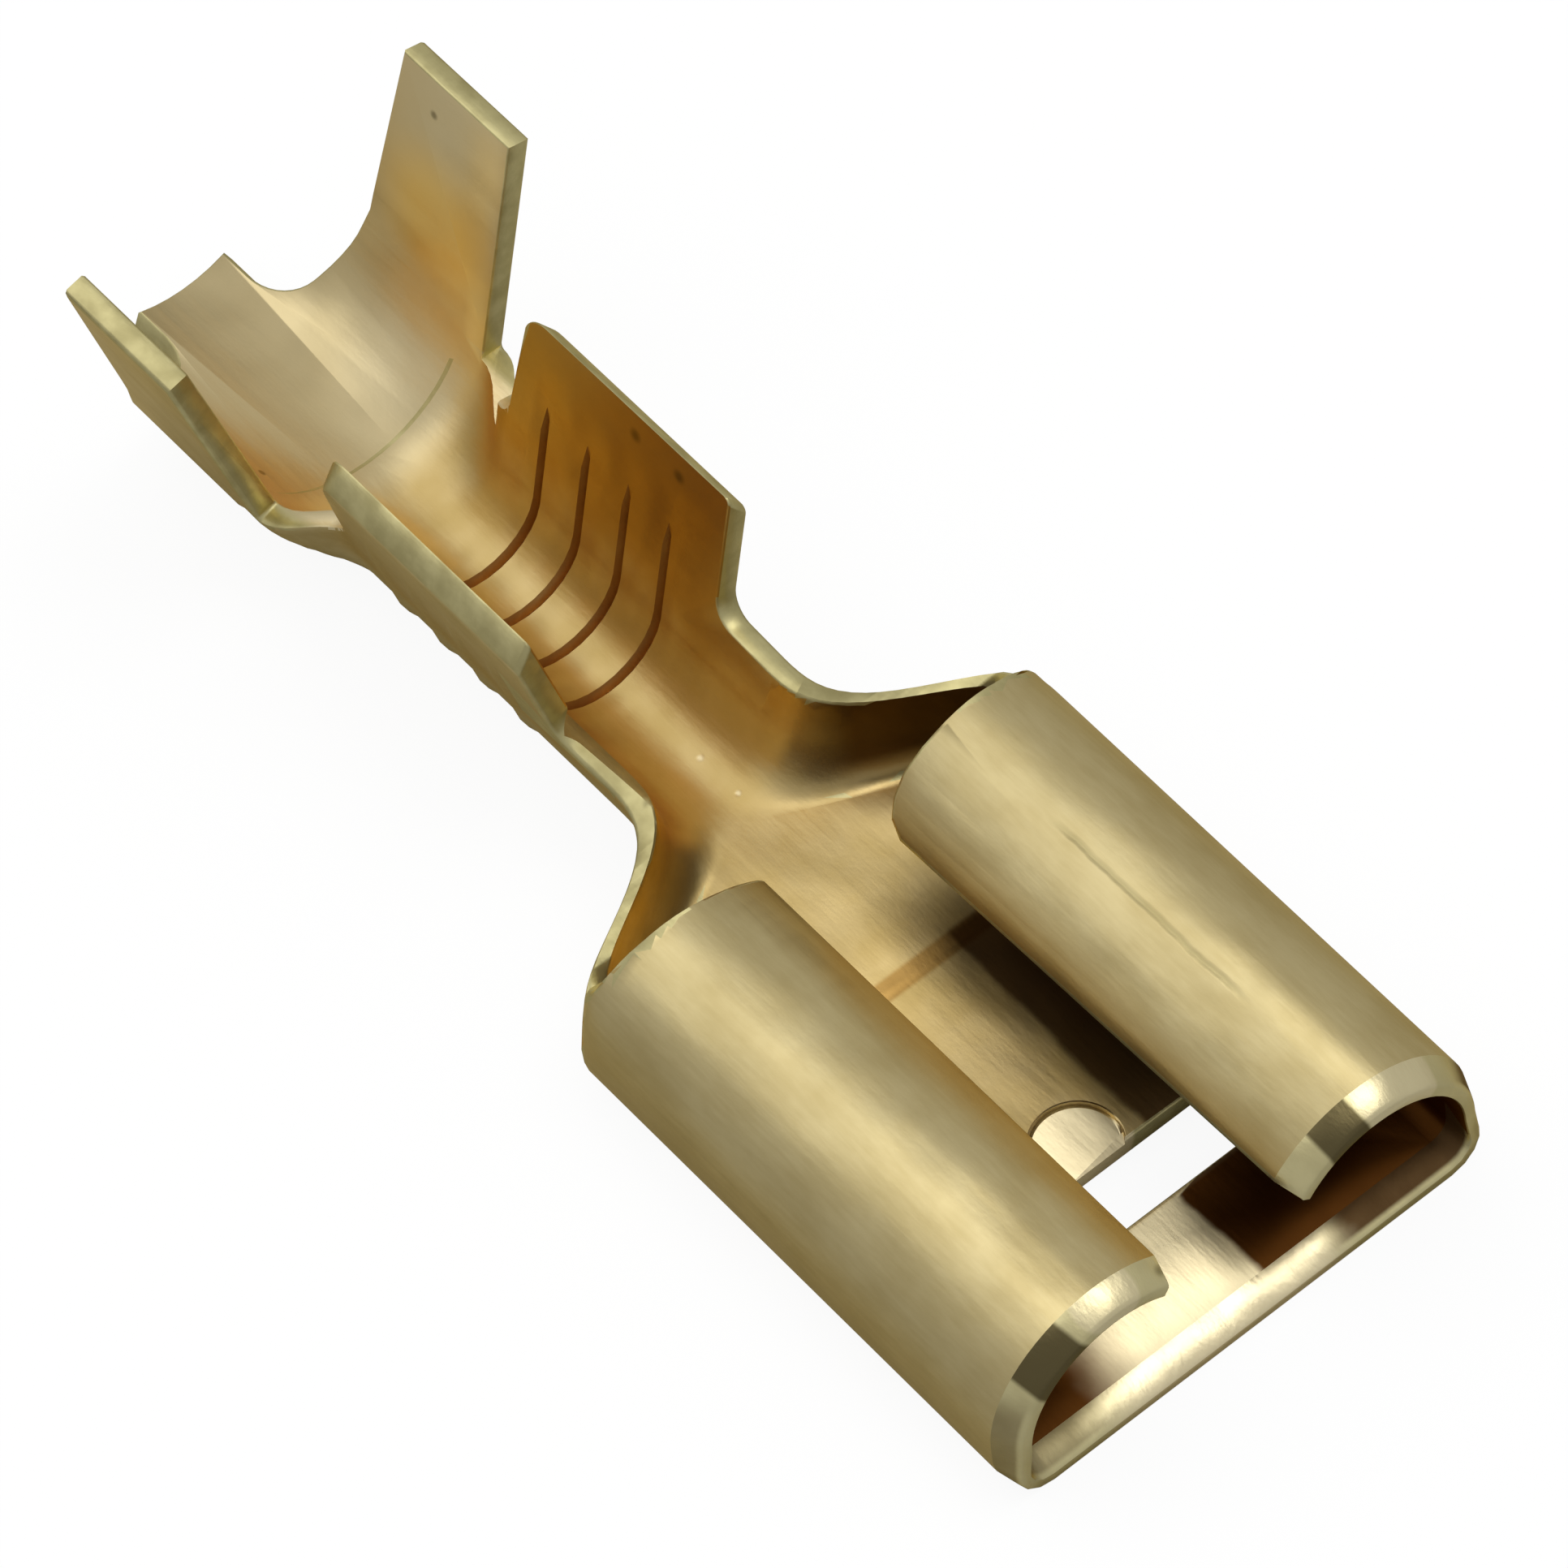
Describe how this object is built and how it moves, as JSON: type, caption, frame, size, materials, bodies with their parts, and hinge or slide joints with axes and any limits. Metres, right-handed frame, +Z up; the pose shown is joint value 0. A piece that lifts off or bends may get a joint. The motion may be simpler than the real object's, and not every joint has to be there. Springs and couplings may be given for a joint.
{
  "type": "female spade terminal",
  "caption": "Folded brass female spade terminal: receptacle with curled rails, neck, open wire barrel and open insulation barrel.",
  "frame": {"origin": "middle of the receptacle's length and width, on the underside of its floor", "axes": "+X along the terminal towards the receptacle's mouth, +Y across it, +Z up towards the open side of the barrels"},
  "size_m": [0.0204, 0.0074, 0.005],
  "materials": {
    "brass_sheet": "satin rolled brass strip, unplated, with brighter sheared edges"
  },
  "bodies": {
    "root": {"terminal_sheet": "brass_sheet"}
  },
  "joints": []
}
